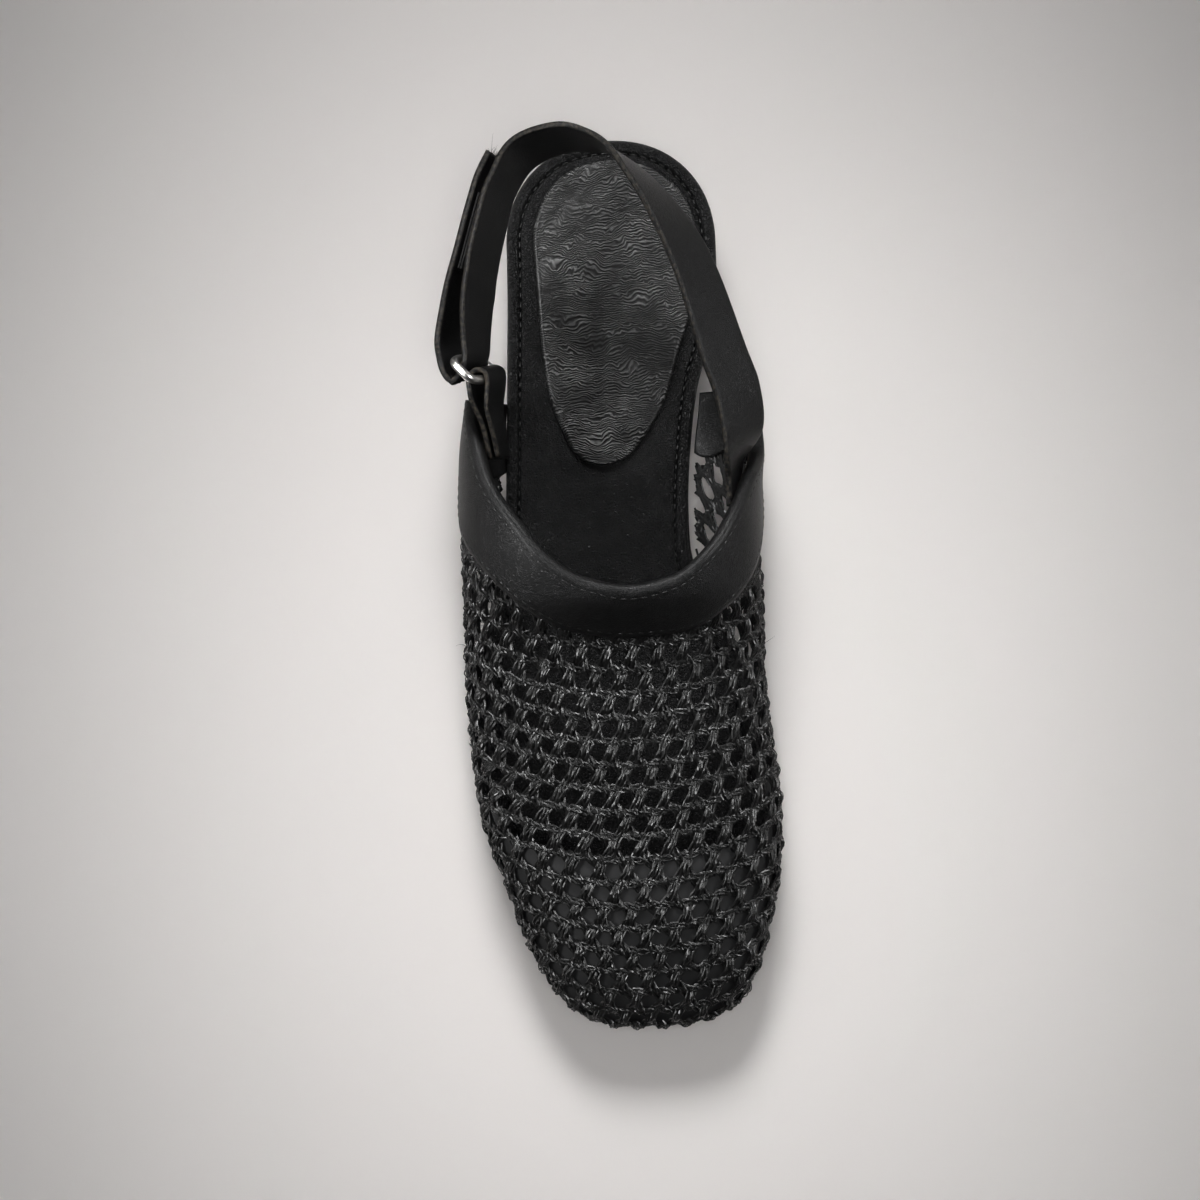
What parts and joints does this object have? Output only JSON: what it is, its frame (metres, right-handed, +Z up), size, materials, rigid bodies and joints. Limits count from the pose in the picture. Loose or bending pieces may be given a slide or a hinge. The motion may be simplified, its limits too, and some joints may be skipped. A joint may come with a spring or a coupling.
{
  "type": "slingback flat shoe",
  "caption": "Right slingback flat with a closed square toe of open hexagonal raffia weave, a leather collar, low heel and a sling strap fastened back through an oval ring.",
  "frame": {"origin": "middle of the heel's flat tread, on the floor", "axes": "+Z up, toe towards -Y, medial side (big toe, arch) towards +X"},
  "size_m": [0.09, 0.251, 0.0736],
  "materials": {
    "sole_rubber": "matt black rubber unit sole",
    "smooth_leather": "black smooth leather, fine wrinkles, satin",
    "sock_leather": "black smooth leather, fine grain, satin",
    "grained_leather": "black grained leather, matt",
    "woven_raffia": "black raffia fibres, glossy strands, frayed",
    "collar_leather": "black smooth leather, satin, raw light edge inside",
    "strap_leather": "black smooth leather, satin, raw brown edges",
    "polished_metal": "polished silver metal",
    "tab_leather": "black smooth leather, satin",
    "hook_tape": "black hook tape",
    "loop_tape": "black loop tape, fuzzy"
  },
  "bodies": {
    "root": {"outsole": "sole_rubber", "footbed": "smooth_leather", "sock": "sock_leather", "heel_pad": "grained_leather", "vamp": "woven_raffia", "collar": "collar_leather", "sling_strap": "strap_leather", "ring": "polished_metal", "ring_tab": "tab_leather", "hook_tape": "hook_tape", "loop_tape": "loop_tape"}
  },
  "joints": []
}
